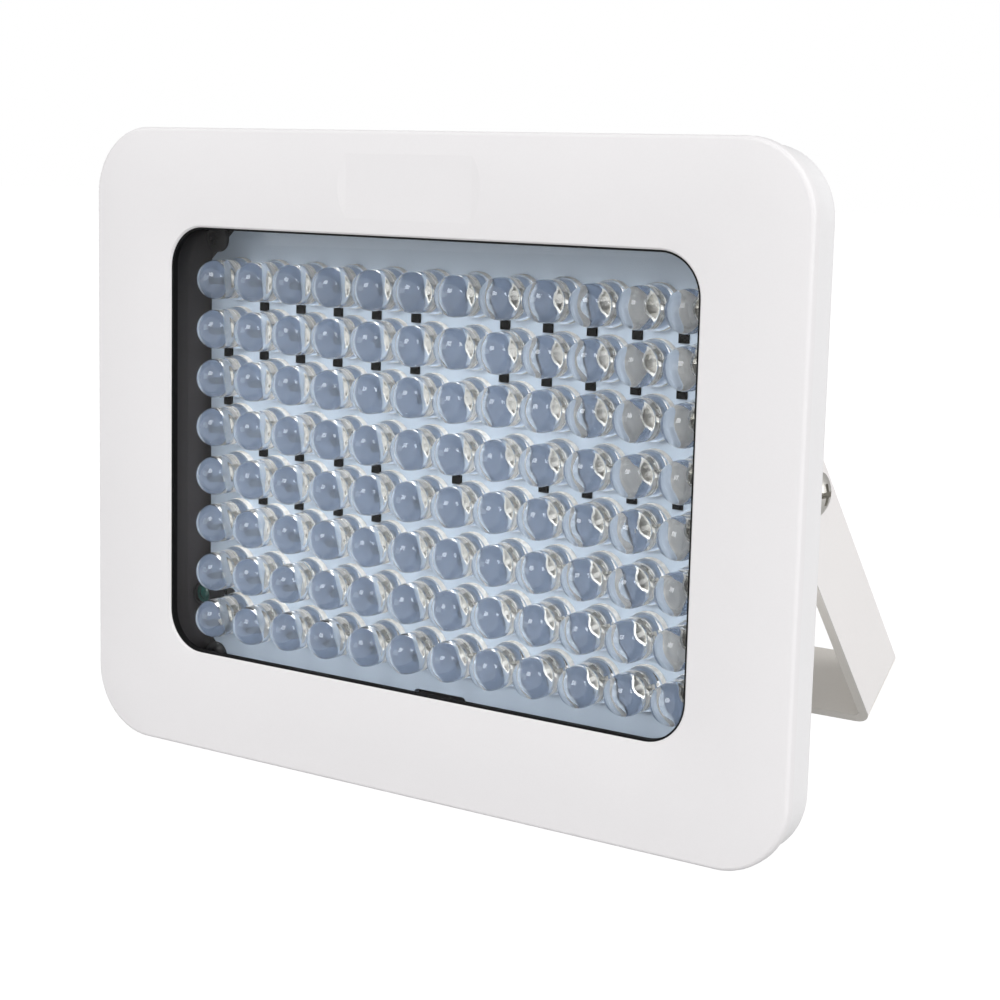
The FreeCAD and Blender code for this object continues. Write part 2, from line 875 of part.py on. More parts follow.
# Terminal block for the supply wires, beside the driver board's corner screw
def make_driver_terminal():
    back = driver_face()
    screw_side = driver_width / 2 - driver_post_inset - driver_screw_head / 2
    middle = screw_side - terminal_screw_gap - terminal_width / 2
    bottom = driver_rise - driver_height / 2 + terminal_edge_gap
    terminal = Part.makeBox(
        terminal_width, terminal_depth, terminal_height,
        Vector(middle - terminal_width / 2, back - terminal_depth, bottom),
    )
    way = terminal_width / terminal_ways
    for number in range(terminal_ways):
        x = middle + (number - (terminal_ways - 1) / 2) * way
        mouth = Part.makeBox(
            terminal_mouth, terminal_mouth, terminal_mouth_depth,
            Vector(x - terminal_mouth / 2, back - terminal_depth / 2 - terminal_mouth / 2,
                   bottom - through),
        )
        terminal = terminal.cut(mouth)
    return terminal


# Screws that close the housing, heads sunk in the tray's back
def make_cover_screws():
    return Part.makeCompound([
        pan_head_screw(
            cover_screw_head, cover_screw_head_height, cover_screw_shank, cover_screw_length,
            Vector(x, cover_screw_seat(), z), Vector(0, -1, 0),
        )
        for x, z in cover_screw_places()
    ])


# Cable gland, without its cable
def make_gland_body():
    z = -gland_below_middle
    thread_front = room_floor + back_wall + gland_pad_height - gland_inner_thread
    thread = rod(gland_thread, thread_front, gland_seat + through / 2, z=z)
    flange = hexagon(gland_flats, gland_seat, gland_flange_back, z=z)
    neck = rod(gland_neck_diameter(), gland_flange_back - through, gland_neck_back, z=z)
    body = fuse_all([thread, flange, neck])
    seat_bore = gland_neck_diameter() - 2 * gland_neck_wall
    body = body.cut(rod(seat_bore, gland_seal_front, gland_neck_back + through, z=z))
    return body.cut(rod(gland_bore, thread_front - through, gland_neck_back, z=z))


def gland_neck_diameter():
    return gland_thread - gland_neck_wall


def make_gland_washer():
    return tube(
        gland_washer_diameter, gland_thread, gland_pad_face, gland_seat, z=-gland_below_middle
    )


def make_gland_locknut():
    z = -gland_below_middle
    nut = hexagon(locknut_flats, room_floor - locknut_thickness, room_floor, z=z)
    return nut.cut(rod(gland_thread, room_floor - locknut_thickness - through, room_floor + through, z=z))


# Rubber sleeve that grips the cable
def make_gland_seal():
    return tube(
        gland_neck_diameter() - 2 * gland_neck_wall, cable_bore,
        gland_seal_front, gland_seal_back, z=-gland_below_middle,
    )


# Domed cap nut that squeezes the rubber sleeve
def make_gland_cap():
    inner = gland_neck_diameter() / 2
    seal = inner - gland_neck_wall
    outer = inner + gland_cap_wall
    nose = gland_mouth / 2 + gland_cap_wall / 2
    profile = [
        (inner, gland_cap_front),
        (outer * 2 / math.sqrt(3), gland_cap_front),
        (outer * 2 / math.sqrt(3), gland_neck_back - through),
        (outer, gland_seal_back),
        ((outer + nose) / 2, gland_tip - gland_cap_nose / 3),
        (nose, gland_tip),
        (gland_mouth / 2, gland_tip),
        (gland_mouth / 2, gland_seal_back),
        (seal, gland_seal_back),
        (seal, gland_neck_back),
        (inner, gland_neck_back),
    ]
    nut = turned(profile, Vector(0, 0, -gland_below_middle), Vector(0, 1, 0))
    flats = hexagon(2 * outer, gland_cap_front - through, gland_tip + through, z=-gland_below_middle)
    return nut.common(flats)


# Bracket: U-shaped strip with round ends, drawn hanging straight down, then swung back
def make_bracket():
    front = -strip_width / 2
    back = strip_width / 2
    outer = block(
        2 * arm_outside, 2 * bracket_reach, bend_inside + strip_thickness, front, back
    )
    inner = block(
        2 * arm_inside, 2 * (bracket_reach - strip_thickness), bend_inside,
        front - through, back + through,
    )
    upper_half = Part.makeBox(
        2 * arm_outside + 2 * through, strip_width + 2 * through, bracket_reach + through,
        Vector(-arm_outside - through, front - through, 0),
    )
    strip = outer.cut(inner).cut(upper_half)
    for side in (-1, 1):
        strip = strip.fuse(side_rod(strip_width, arm_inside, arm_outside, 0, side))
    strip = strip.removeSplitter()
    for side in (-1, 1):
        strip = strip.cut(side_rod(
            pivot_screw_shank + 2 * pivot_play, arm_inside - through, arm_outside + through, 0, side
        ))
    side_x = side_hole_circle / 2
    for diameter, x in ((middle_hole, 0), (side_hole, side_x), (side_hole, -side_x)):
        strip = strip.cut(Part.makeCylinder(
            diameter / 2, strip_thickness + 2 * through,
            Vector(x, 0, -bracket_reach - through), Vector(0, 0, 1),
        ))
    strip.rotate(Vector(0, 0, 0), Vector(1, 0, 0), bracket_angle)
    strip.translate(Vector(0, pivot_depth, 0))
    return strip


def pivot_screw_seat():
    return arm_outside + toothed_washer_thickness


def make_pivot_screws():
    return Part.makeCompound([
        pan_head_screw(
            pivot_screw_head, pivot_screw_head_height, pivot_screw_shank, pivot_screw_length,
            Vector(side * pivot_screw_seat(), pivot_depth, 0), Vector(-side, 0, 0),
        )
        for side in (-1, 1)
    ])


# Star washer: a ring whose rim is cut into short teeth
def make_toothed_washers():
    washers = []
    for side in (-1, 1):
        washer = side_rod(toothed_washer_diameter, arm_outside, pivot_screw_seat(), pivot_depth, side)
        washer = washer.cut(side_rod(
            pivot_screw_shank + 2 * pivot_play, arm_outside - through,
            pivot_screw_seat() + through, pivot_depth, side,
        ))
        tooth_gap = math.pi * toothed_washer_diameter / tooth_count / 2
        for number in range(tooth_count):
            gap = Part.makeBox(
                toothed_washer_thickness + 2 * through, tooth_gap, tooth_depth + through,
                Vector(-through, -tooth_gap / 2, toothed_washer_diameter / 2 - tooth_depth),
            )
            gap.rotate(Vector(0, 0, 0), Vector(1, 0, 0), 360 * number / tooth_count)
            start = arm_outside if side > 0 else -pivot_screw_seat()
            gap.translate(Vector(start, pivot_depth, 0))
            washer = washer.cut(gap)
        washers.append(washer)
    return Part.makeCompound(washers)


# Plain plastic washers between the bosses and the bracket's arms
def make_friction_washers():
    washers = []
    for side in (-1, 1):
        washer = side_rod(friction_washer_diameter, boss_face, arm_inside, pivot_depth, side)
        washer = washer.cut(side_rod(
            pivot_screw_shank + 2 * pivot_play, boss_face - through, arm_inside + through,
            pivot_depth, side,
        ))
        washers.append(washer)
    return Part.makeCompound(washers)


parts = {
    "front_cover": make_front_cover(),
    "window_gasket": make_window_gasket(),
    "window_glass": make_window_glass(),
    "rear_housing": make_rear_housing(),
    "housing_seal": seal_ring(),
    "cover_screws": make_cover_screws(),
    "led_board": make_led_board(),
    "board_resistors": make_board_resistors(),
    "board_screws": make_board_screws(),
    "light_sensor": make_light_sensor(),
    "sensor_sleeve": make_sensor_sleeve(),
    "driver_board": make_driver_board(),
    "driver_screws": make_driver_screws(),
    "driver_transformer": make_driver_transformer(),
    "driver_capacitors": make_driver_capacitors(),
    "driver_terminal": make_driver_terminal(),
    "gland_body": make_gland_body(),
    "gland_washer": make_gland_washer(),
    "gland_locknut": make_gland_locknut(),
    "gland_seal": make_gland_seal(),
    "gland_cap": make_gland_cap(),
    "bracket": make_bracket(),
    "pivot_screws": make_pivot_screws(),
    "toothed_washers": make_toothed_washers(),
    "friction_washers": make_friction_washers(),
}
for row in range(led_rows):
    parts["led_row_%d" % (row + 1)] = make_led_row(row)

# The bracket's middle hole, on the face that goes against the wall
swing = math.radians(bracket_angle)
mounting_point = Vector(
    0, pivot_depth + bracket_reach * math.sin(swing), -bracket_reach * math.cos(swing)
)

os.makedirs("parts", exist_ok=True)
for name, shape in parts.items():
    shape.translate(mounting_point * -1)
    shape.exportStep("parts/%s.step" % name)
    print("%s: %d solid(s), %.1f mm3, valid %s" % (
        name, len(shape.Solids), shape.Volume, shape.isValid()
    ))
print("cover %.1f x %.1f, depth to fins %.1f, pivot at %.1f, reach %.2f" % (
    cover_width, cover_height, fin_back, pivot_depth, bracket_reach
))
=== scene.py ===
import math

import bpy
from mathutils import Matrix, Vector


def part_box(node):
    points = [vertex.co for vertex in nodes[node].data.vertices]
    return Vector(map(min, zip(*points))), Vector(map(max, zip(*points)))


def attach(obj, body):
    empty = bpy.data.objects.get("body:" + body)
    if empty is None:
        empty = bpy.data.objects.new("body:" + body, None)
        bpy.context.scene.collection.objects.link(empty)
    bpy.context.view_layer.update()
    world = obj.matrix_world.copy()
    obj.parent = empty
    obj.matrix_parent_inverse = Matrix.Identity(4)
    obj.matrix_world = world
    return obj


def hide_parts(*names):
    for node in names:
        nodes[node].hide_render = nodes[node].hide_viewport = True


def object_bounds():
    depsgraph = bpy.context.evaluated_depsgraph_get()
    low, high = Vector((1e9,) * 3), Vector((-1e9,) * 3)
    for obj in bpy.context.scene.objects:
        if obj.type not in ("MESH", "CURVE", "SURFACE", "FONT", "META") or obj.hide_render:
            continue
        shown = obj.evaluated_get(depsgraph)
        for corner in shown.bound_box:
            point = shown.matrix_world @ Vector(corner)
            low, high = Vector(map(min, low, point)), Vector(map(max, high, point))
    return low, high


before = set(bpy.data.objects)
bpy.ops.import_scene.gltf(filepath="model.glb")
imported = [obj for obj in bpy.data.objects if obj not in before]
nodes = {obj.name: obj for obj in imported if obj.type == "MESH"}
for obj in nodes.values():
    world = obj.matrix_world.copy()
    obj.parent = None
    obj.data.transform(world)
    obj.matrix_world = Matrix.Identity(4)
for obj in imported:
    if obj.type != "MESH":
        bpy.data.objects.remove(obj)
solid_low, solid_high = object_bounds()


# Camera: stands to the right of the light and a little above it, looking slightly down,
# where the photograph was taken from. Its place and turn were solved from the LED grid.
camera_place = Vector((0.24261, -0.38462, 0.10162))
camera_right = Vector((0.81712, 0.57593, 0.02474))
camera_down = Vector((0.10834, -0.11128, -0.98787))
camera_forward = Vector((-0.56619, 0.80989, -0.15332))
camera_lens = 77.18
sensor_width = 36.0
nearest_view = 0.01

camera_data = bpy.data.cameras.new("photo_camera")
camera_data.sensor_width = sensor_width
camera_data.lens = camera_lens
camera_data.clip_start = nearest_view
camera = bpy.data.objects.new("photo_camera", camera_data)
bpy.context.scene.collection.objects.link(camera)
camera_turn = Matrix((camera_right, -camera_down, -camera_forward)).transposed()
camera.matrix_world = Matrix.Translation(camera_place) @ camera_turn.to_4x4()
bpy.context.scene.camera = camera


# Studio: a white floor under the light's lowest point and an even white room. Two soft
# boxes, in front and on the right, make the pair of glints on every LED dome, and two
# larger low ones fill in from the left and from the right behind the light.
floor_size = 12.0
floor_grey = 0.6
floor_roughness = 0.9
floor_glow_share = 0.8
floor_glow_strength = 1.24
room_strength = 0.425
open_strength = 1.0
lamp_aim = Vector((0, -0.0608, 0.0427))
soft_boxes = (
    ("front_soft_box", (0.115, -2.263, 1.421), 1.05, 24.0),
    ("right_soft_box", (2.202, -0.529, 1.343), 0.95, 25.0),
    ("left_soft_box", (-1.088, -2.394, 0.405), 1.6, 13.0),
    ("side_soft_box", (2.321, 1.021, 0.494), 1.2, 12.5),
)


def seen_directly(tree):
    """One for rays that show a surface to the eye, straight or through glass."""
    path = tree.nodes.new("ShaderNodeLightPath")
    either = tree.nodes.new("ShaderNodeMath")
    either.operation = "MAXIMUM"
    tree.links.new(path.outputs["Is Camera Ray"], either.inputs[0])
    tree.links.new(path.outputs["Is Transmission Ray"], either.inputs[1])
    return either.outputs[0]


bpy.ops.object.select_all(action="DESELECT")
bpy.ops.mesh.primitive_plane_add(size=floor_size, location=(0, 0, solid_low.z))
studio_floor = bpy.context.object
studio_floor.name = "studio_floor"
floor_paint = bpy.data.materials.new("white_floor")
floor_paint.use_nodes = True
tree = floor_paint.node_tree
floor_shader = tree.nodes["Principled BSDF"]
floor_shader.inputs["Base Color"].default_value = (floor_grey, floor_grey, floor_grey, 1)
floor_shader.inputs["Roughness"].default_value = floor_roughness
floor_glow = tree.nodes.new("ShaderNodeEmission")
floor_glow.inputs["Strength"].default_value = floor_glow_strength
floor_mix = tree.nodes.new("ShaderNodeMixShader")
floor_share = tree.nodes.new("ShaderNodeMath")
floor_share.operation = "MULTIPLY"
floor_share.inputs[1].default_value = floor_glow_share
tree.links.new(seen_directly(tree), floor_share.inputs[0])
tree.links.new(floor_share.outputs[0], floor_mix.inputs[0])
tree.links.new(floor_shader.outputs[0], floor_mix.inputs[1])
tree.links.new(floor_glow.outputs[0], floor_mix.inputs[2])
tree.links.new(floor_mix.outputs[0], tree.nodes["Material Output"].inputs["Surface"])
studio_floor.data.materials.append(floor_paint)

room = bpy.data.worlds.new("white_room")
bpy.context.scene.world = room
room.use_nodes = True
tree = room.node_tree
room_level = tree.nodes.new("ShaderNodeMapRange")
room_level.inputs["To Min"].default_value = room_strength
room_level.inputs["To Max"].default_value = open_strength
tree.links.new(seen_directly(tree), room_level.inputs["Value"])
room_light = tree.nodes["Background"]
room_light.inputs["Color"].default_value = (1, 1, 1, 1)
tree.links.new(room_level.outputs["Result"], room_light.inputs["Strength"])

for name, place, size, power in soft_boxes:
    lamp_data = bpy.data.lights.new(name, "AREA")
    lamp_data.shape = "SQUARE"
    lamp_data.size = size
    lamp_data.energy = power
    lamp = bpy.data.objects.new(name, lamp_data)
    bpy.context.scene.collection.objects.link(lamp)
    lamp.location = place
    lamp.rotation_euler = (lamp_aim - Vector(place)).to_track_quat("-Z", "Y").to_euler()
bpy.context.scene.view_settings.view_transform = "Standard"


# Front cover: white moulded plastic with a softly domed rim and a shallow flat recess
# above the window. The mould leaves a very fine even grain on it.
grain_detail = 3.0
clouds_per_metre = 28.0
cloud_detail = 2.0


def paint(red, green, blue):
    """Linear colour of an 8-bit screen colour, by the standard screen curve."""
    values = []
    for level in (red, green, blue):
        share = level / 255
        values.append(share / 12.92 if share <= 0.04045 else ((share + 0.055) / 1.055) ** 2.4)
    return (*values, 1.0)


def make_grain_group():
    """Fine grain: a tone that varies gently about one, and a height for a bump."""
    group = bpy.data.node_groups.new("fine_grain", "ShaderNodeTree")
    face = group.interface
    face.new_socket("Place", in_out="INPUT", socket_type="NodeSocketVector")
    face.new_socket("Grains per Metre", in_out="INPUT", socket_type="NodeSocketFloat")
    face.new_socket("Tone Spread", in_out="INPUT", socket_type="NodeSocketFloat")
    face.new_socket("Tone", in_out="OUTPUT", socket_type="NodeSocketFloat")
    face.new_socket("Height", in_out="OUTPUT", socket_type="NodeSocketFloat")
    start = group.nodes.new("NodeGroupInput")
    end = group.nodes.new("NodeGroupOutput")
    grain = group.nodes.new("ShaderNodeTexNoise")
    grain.inputs["Detail"].default_value = grain_detail
    cloud = group.nodes.new("ShaderNodeTexNoise")
    cloud.inputs["Scale"].default_value = clouds_per_metre
    cloud.inputs["Detail"].default_value = cloud_detail
    both = group.nodes.new("ShaderNodeMath")
    both.operation = "ADD"
    centred = group.nodes.new("ShaderNodeMath")
    centred.operation = "SUBTRACT"
    centred.inputs[1].default_value = 1.0
    spread = group.nodes.new("ShaderNodeMath")
    spread.operation = "MULTIPLY_ADD"
    spread.inputs[2].default_value = 1.0
    link = group.links.new
    link(start.outputs["Place"], grain.inputs["Vector"])
    link(start.outputs["Place"], cloud.inputs["Vector"])
    link(start.outputs["Grains per Metre"], grain.inputs["Scale"])
    link(grain.outputs["Fac"], both.inputs[0])
    link(cloud.outputs["Fac"], both.inputs[1])
    link(both.outputs[0], centred.inputs[0])
    link(centred.outputs[0], spread.inputs[0])
    link(start.outputs["Tone Spread"], spread.inputs[1])
    link(spread.outputs[0], end.inputs["Tone"])
    link(grain.outputs["Fac"], end.inputs["Height"])
    return group


grain_group = make_grain_group()


def finish(name, colour, roughness, grains, spread, bump, metallic=0.0, sheen_level=0.5):
    """Material with a base colour and roughness that the grain varies, and a fine bump."""
    material = bpy.data.materials.new(name)
    material.use_nodes = True
    tree = material.node_tree
    shader = tree.nodes["Principled BSDF"]
    shader.inputs["Metallic"].default_value = metallic
    shader.inputs["Specular IOR Level"].default_value = sheen_level
    place = tree.nodes.new("ShaderNodeTexCoord")
    grain = tree.nodes.new("ShaderNodeGroup")
    grain.node_tree = grain_group
    grain.name = "grain"
    grain.inputs["Grains per Metre"].default_value = grains
    grain.inputs["Tone Spread"].default_value = spread
    tint = tree.nodes.new("ShaderNodeMix")
    tint.name = "tint"
    tint.data_type = "RGBA"
    tint.blend_type = "MULTIPLY"
    tint.inputs["Factor"].default_value = 1.0
    tint.inputs["A"].default_value = colour
    dull = tree.nodes.new("ShaderNodeMath")
    dull.operation = "MULTIPLY"
    dull.inputs[1].default_value = roughness
    relief = tree.nodes.new("ShaderNodeBump")
    relief.name = "relief"
    relief.inputs["Strength"].default_value = 1.0
    relief.inputs["Distance"].default_value = bump
    link = tree.links.new
    link(place.outputs["Object"], grain.inputs["Place"])
    link(grain.outputs["Tone"], tint.inputs["B"])
    link(tint.outputs["Result"], shader.inputs["Base Color"])
    link(grain.outputs["Tone"], dull.inputs[0])
    link(dull.outputs[0], shader.inputs["Roughness"])
    link(grain.outputs["Height"], relief.inputs["Height"])
    link(relief.outputs["Normal"], shader.inputs["Normal"])
    return material


def dress(node, material):
    """Gives a carried-over node its finish."""
    for slot in nodes[node].material_slots:
        slot.material = material


cover_white = finish(
    "cover_white", paint(236, 234, 235),
    roughness=0.62, grains=2600, spread=0.03, bump=0.000006, sheen_level=0.35,
)
dress("front_cover", cover_white)


# Window gasket: black moulded rubber that wraps the pane's edge, with a narrow bead
# that shows round the opening.
black_rubber = finish(
    "black_rubber", paint(14, 14, 15),
    roughness=0.7, grains=1800, spread=0.2, bump=0.00001, sheen_level=0.2,
)
dress("window_gasket", black_rubber)


# Window pane: clear float glass, bonded into the gasket.
def clear_finish(name, colour, index, open_share):
    """Clear material that lets most of the lamps' light through to what stands behind it."""
    material = bpy.data.materials.new(name)
    material.use_nodes = True
    tree = material.node_tree
    shader = tree.nodes["Principled BSDF"]
    shader.inputs["Base Color"].default_value = colour
    shader.inputs["Roughness"].default_value = 0.0
    shader.inputs["IOR"].default_value = index
    shader.inputs["Transmission Weight"].default_value = 1.0
    path = tree.nodes.new("ShaderNodeLightPath")
    share = tree.nodes.new("ShaderNodeMath")
    share.operation = "MULTIPLY"
    share.inputs[1].default_value = open_share
    clear = tree.nodes.new("ShaderNodeBsdfTransparent")
    mix = tree.nodes.new("ShaderNodeMixShader")
    link = tree.links.new
    link(path.outputs["Is Shadow Ray"], share.inputs[0])
    link(share.outputs[0], mix.inputs[0])
    link(shader.outputs[0], mix.inputs[1])
    link(clear.outputs[0], mix.inputs[2])
    link(mix.outputs[0], tree.nodes["Material Output"].inputs["Surface"])
    return material


window_glass = clear_finish("window_glass", (0.985, 0.99, 0.99, 1), index=1.2, open_share=0.98)
dress("window_glass", window_glass)


# LED board: glass-filled board with a cool white mask, corners cut for its screws.
board_white = finish(
    "board_white", paint(177, 190, 205),
    roughness=0.4, grains=900, spread=0.04, bump=0.000004, sheen_level=0.3,
)
dress("led_board", board_white)


# LEDs: 96 clear 8 mm epoxy lamps, each cast round a silver-plated lead frame with a
# cup for the infrared chip, and a flange at its foot. Half the foot is a dull patch whose
# slate blue is painted shade, the shade on the board under the lamp; the flange's rim is
# an opaque mottled white, a painted highlight with painted sparkle; and no two lamps
# stand quite square on the board.
led_count = 12
led_rows = 8
led_radius = 0.004
flange_radius = 0.0044
foot_gap = 0.00006
flange_height = 0.0016
flange_edge = 0.0002
foot_patch_radius = 0.003
foot_patch_side = 0.0003
edge_slack = 1.01
led_segments = 32
crease_angle = math.radians(40)
merge_distance = 0.00001
cup_depth = 0.0072
cup_top_radius = 0.0009
cup_foot_radius = 0.0006
cup_height = 0.0008
cup_segments = 16
cup_wall = 0.00015
dish_share = 0.6
dish_taper = 0.6
anvil_width = 0.0017
anvil_neck = 0.0012
anvil_start = 0.9 * cup_height
post_width = 0.0012
post_neck = 0.0008
post_start = 0.0002
shoulder_height = 0.0008
sheet_thickness = 0.0005
leg_width = 0.0005
lead_pitch = 0.00254
led_lean = math.radians(0.9)
turn_step = 2.4
lean_beat = 5

led_low, led_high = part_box("led_row_1")
led_height = led_high.y - led_low.y
led_pitch = (led_high.x - led_low.x - 2 * flange_radius) / (led_count - 1)


def only(test):
    """Selects the vertices of the mesh being edited that pass a test on their place."""
    bpy.ops.mesh.select_all(action="DESELECT")
    bpy.ops.object.mode_set(mode="OBJECT")
    for vertex in bpy.context.object.data.vertices:
        vertex.select = test(vertex.co)
    bpy.ops.object.mode_set(mode="EDIT")


def extrude_by(x=0.0, y=0.0, z=0.0):
    """Extrudes the selection and moves what is new."""
    bpy.ops.mesh.extrude_region_move(TRANSFORM_OT_translate={"value": (x, y, z)})


def scale_about(centre, x=1.0, y=1.0, z=1.0):
    """Scales the selection about a point."""
    bpy.ops.transform.resize(value=(x, y, z), center_override=centre)


def cast_led_body(materials):
    """Epoxy body: half a ball, drawn out to the flange and closed at its foot."""
    bpy.ops.object.select_all(action="DESELECT")
    bpy.ops.mesh.primitive_uv_sphere_add(
        segments=led_segments, ring_count=led_segments // 2, radius=led_radius,
        location=(0, led_radius, 0), rotation=(math.pi / 2, 0, 0),
    )
    body = bpy.context.object
    for material in materials:
        body.data.materials.append(material)
    bpy.ops.object.transform_apply(location=True, rotation=True, scale=True)
    bpy.ops.object.mode_set(mode="EDIT")
    bpy.ops.mesh.select_all(action="SELECT")
    bpy.ops.mesh.bisect(
        plane_co=(0, led_radius, 0), plane_no=(0, 1, 0), clear_outer=True, use_fill=False
    )
    bpy.ops.mesh.select_mode(type="EDGE")
    bpy.ops.mesh.select_all(action="DESELECT")
    bpy.ops.mesh.select_non_manifold()
    extrude_by(y=led_height - flange_height - led_radius)
    extrude_by()
    flange_front = (0, led_height - flange_height, 0)
    scale_about(flange_front, x=flange_radius / led_radius, z=flange_radius / led_radius)
    extrude_by(y=flange_height - foot_gap)
    bpy.ops.mesh.edge_face_add()
    bpy.ops.mesh.inset(thickness=flange_radius - foot_patch_radius)
    bpy.ops.mesh.bisect(plane_co=(foot_patch_side, 0, 0), plane_no=(1, 0, 0))
    bpy.ops.mesh.select_mode(type="VERT")
    # Half the foot's middle takes the slate finish: painted shade of the board under the lamp.
    only(lambda place: (
        place.y > led_height - flange_height / 2
        and place.x < foot_patch_side * edge_slack
        and math.hypot(place.x, place.z) < foot_patch_radius * edge_slack
    ))
    body.active_material_index = 1
    bpy.ops.object.material_slot_assign()
    # The flange's outer rim takes the opaque white finish: painted highlight and sparkle.
    only(lambda place: place.y > flange_front[1] - flange_edge and (
        math.hypot(place.x, place.z) > (led_radius + flange_radius) / 2
    ))
    body.active_material_index = 2
    bpy.ops.object.material_slot_assign()
    only(lambda place: (
        abs(place.y - flange_front[1]) < flange_edge
        and math.hypot(place.x, place.z) > (led_radius + flange_radius) / 2
    ))
    bpy.ops.mesh.bevel(offset=flange_edge, segments=2, affect="EDGES")
    bpy.ops.mesh.select_all(action="SELECT")
    bpy.ops.mesh.remove_doubles(threshold=merge_distance)
    bpy.ops.mesh.normals_make_consistent(inside=False)
    bpy.ops.object.mode_set(mode="OBJECT")
    bpy.ops.object.shade_smooth_by_angle(angle=crease_angle)
    return body


def stamp_lead_frame():
    """Lead frame: an anvil that carries the cup, and a thinner post for the bond wire."""
    bpy.ops.object.select_all(action="DESELECT")
    anvil_x = -lead_pitch / 4
    bpy.ops.mesh.primitive_cone_add(
        vertices=cup_segments,
        radius1=cup_foot_radius,
        radius2=cup_top_radius,
        depth=cup_height,
        location=(anvil_x, cup_depth + cup_height / 2, 0),
        rotation=(math.pi / 2, 0, 0),
    )
    part = bpy.context.object
    bpy.ops.object.transform_apply(location=True, rotation=True, scale=True)
    bpy.ops.object.mode_set(mode="EDIT")
    only(lambda place: place.y < cup_depth + cup_height / 2)
    bpy.ops.mesh.select_mode(type="FACE")
    bpy.ops.mesh.inset(thickness=cup_wall)
    extrude_by(y=cup_height * dish_share)
    scale_about((anvil_x, cup_depth, 0), x=dish_taper, z=dish_taper)
    bpy.ops.mesh.select_mode(type="VERT")
    for middle, wide, front, neck in (
        (anvil_x, anvil_width, cup_depth + anvil_start, anvil_neck),
        (lead_pitch / 2, post_width, cup_depth + post_start, post_neck),
    ):
        before = len(part.data.vertices)
        bpy.ops.mesh.select_all(action="DESELECT")
        bpy.ops.mesh.primitive_cube_add(size=1, location=(middle, front + neck / 2, 0))
        scale_about((middle, front + neck / 2, 0), x=wide, y=neck, z=sheet_thickness)
        bpy.ops.object.mode_set(mode="OBJECT")
        for vertex in part.data.vertices:
            vertex.select = vertex.index >= before and vertex.co.y > front + neck / 2
        bpy.ops.object.mode_set(mode="EDIT")
        bpy.ops.mesh.select_mode(type="FACE")
        lead_x = math.copysign(lead_pitch / 2, middle)
        extrude_by(x=lead_x - middle, y=shoulder_height)
        scale_about((lead_x, 0, 0), x=leg_width / wide)
        extrude_by(y=led_height - (front + neck + shoulder_height))
        bpy.ops.mesh.select_mode(type="VERT")
    bpy.ops.mesh.select_all(action="SELECT")
    bpy.ops.mesh.normals_make_consistent(inside=False)
    bpy.ops.object.mode_set(mode="OBJECT")
    return part


led_clear = clear_finish("led_clear", (0.95, 0.97, 1.0, 1), index=1.53, open_share=0.94)
# Slate foot patch: painted shade, the shadowed board seen through the lamp.
foot_painted_shade = finish(
    "foot_painted_shade", paint(122, 138, 162),
    roughness=0.6, grains=2600, spread=0.08, bump=0.000003, sheen_level=0.2,
)
lead_silver = finish(
    "lead_silver", paint(228, 226, 220),
    roughness=0.25, grains=3000, spread=0.1, bump=0.000002, metallic=1.0,
)
# Opaque mottled white rim: a painted highlight with painted sparkle for the light the clear
# flange gathers.
rim_painted_highlight = finish(
    "rim_painted_highlight", paint(236, 233, 227), roughness=0.25, grains=1100, spread=0.8, bump=0.0001
)
led_body = cast_led_body((led_clear, foot_painted_shade, rim_painted_highlight))
led_frame = stamp_lead_frame()
led_frame.data.materials.append(lead_silver)

for row in range(1, led_rows + 1):
    row_low, row_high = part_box(f"led_row_{row}")
    row_z = (row_low.z + row_high.z) / 2
    copies = []
    for number in range(led_count):
        led_x = row_low.x + flange_radius + number * led_pitch
        turn = turn_step * (row * led_count + number)
        lean = led_lean * (1 + math.sin(lean_beat * turn)) / 2
        stand = (
            Matrix.Translation((led_x, row_high.y, row_z))
            @ Matrix.Rotation(lean, 4, Vector((math.cos(turn), 0, math.sin(turn))))
            @ Matrix.Translation((0, -led_height, 0))
        )
        for model in (led_body, led_frame):
            copy = model.copy()
            copy.data = model.data.copy()
            copy.data.transform(stand)
            bpy.context.scene.collection.objects.link(copy)
            copies.append(copy)
    bpy.ops.object.select_all(action="DESELECT")
    for copy in copies:
        copy.select_set(True)
    bpy.context.view_layer.objects.active = copies[0]
    bpy.ops.object.join()
    lamps = bpy.context.object
    lamps.name = f"epoxy_leds_{row}"
    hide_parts(f"led_row_{row}")
    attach(lamps, "housing")
bpy.data.objects.remove(led_body)
bpy.data.objects.remove(led_frame)


# Resistors: small black chips, soldered between the LEDs.
chip_black = finish(
    "chip_black", paint(10, 10, 10),
    roughness=0.8, grains=4000, spread=0.15, bump=0.000003, sheen_level=0.1,
)
dress("board_resistors", chip_black)


# Light sensor: a round cell under clear green lacquer, in a black shrink sleeve.
sensor_green = finish(
    "sensor_green", paint(24, 72, 66), roughness=0.25, grains=3000, spread=0.1, bump=0.000002
)
dress("light_sensor", sensor_green)
sleeve_dark = finish(
    "sleeve_dark", paint(24, 22, 26), roughness=0.6, grains=1500, spread=0.1, bump=0.000005
)
dress("sensor_sleeve", sleeve_dark)


# Rear housing: die-cast aluminium, powder-coated white outside. The chamber in front of
# the LED board is left bare, and its dark grey is partly painted shade: the shade that
# falls in the chamber behind the pane.
chamber_half_width = 0.0653
chamber_half_height = 0.0506
chamber_back = -0.0511
chamber_middle_z = 0.0447
chamber_bare_grey_and_shade = paint(58, 55, 56)


